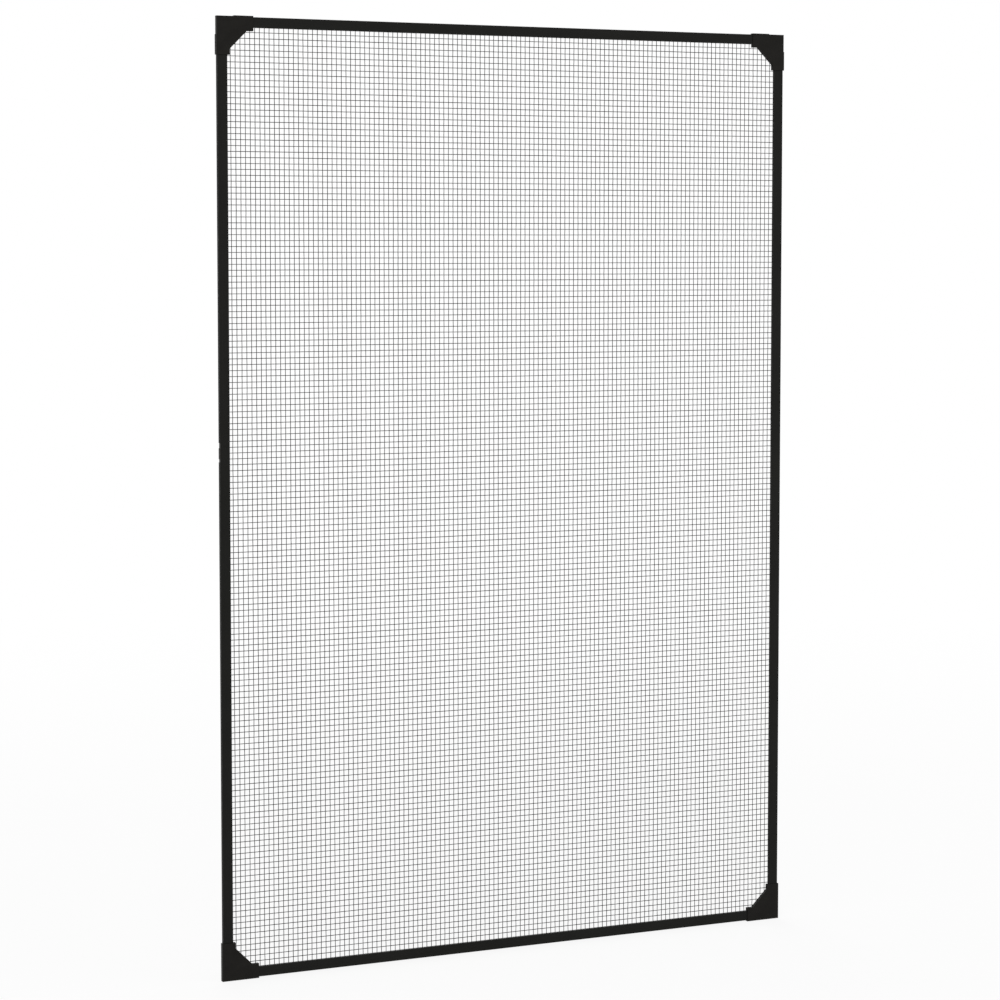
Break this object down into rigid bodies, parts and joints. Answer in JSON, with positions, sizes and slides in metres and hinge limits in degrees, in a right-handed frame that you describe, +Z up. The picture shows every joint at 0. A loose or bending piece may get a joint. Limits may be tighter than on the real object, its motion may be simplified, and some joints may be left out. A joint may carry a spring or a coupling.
{
  "type": "window screen frame",
  "caption": "Slim rectangular window screen: black profiles, moulded corners with gussets and a stretched open woven mesh, held flat by magnet strips along its back.",
  "frame": {"origin": "middle of the bottom edge, halfway through the thickness from the front of the corners to the back of the magnet strips", "axes": "+X to the right seen from the front, +Y from the front to the back, towards the window, +Z up"},
  "size_m": [0.8028, 0.007, 1.2028],
  "materials": {
    "profile": "matte",
    "moulding": "matte",
    "cord": "matte",
    "strip": "matte",
    "mesh": "matte"
  },
  "bodies": {
    "root": {"bottom_magnet_strip": "strip", "bottom_mesh_cord": "cord", "bottom_rail": "profile", "corner_bottom_left": "moulding", "corner_bottom_right": "moulding", "corner_top_left": "moulding", "corner_top_right": "moulding", "edge_plug": "moulding", "insect_mesh": "mesh", "left_magnet_strip": "strip", "left_mesh_cord": "cord", "left_stile": "profile", "right_magnet_strip": "strip", "right_mesh_cord": "cord", "right_stile": "profile", "top_magnet_strip": "strip", "top_mesh_cord": "cord", "top_rail": "profile"}
  },
  "joints": []
}
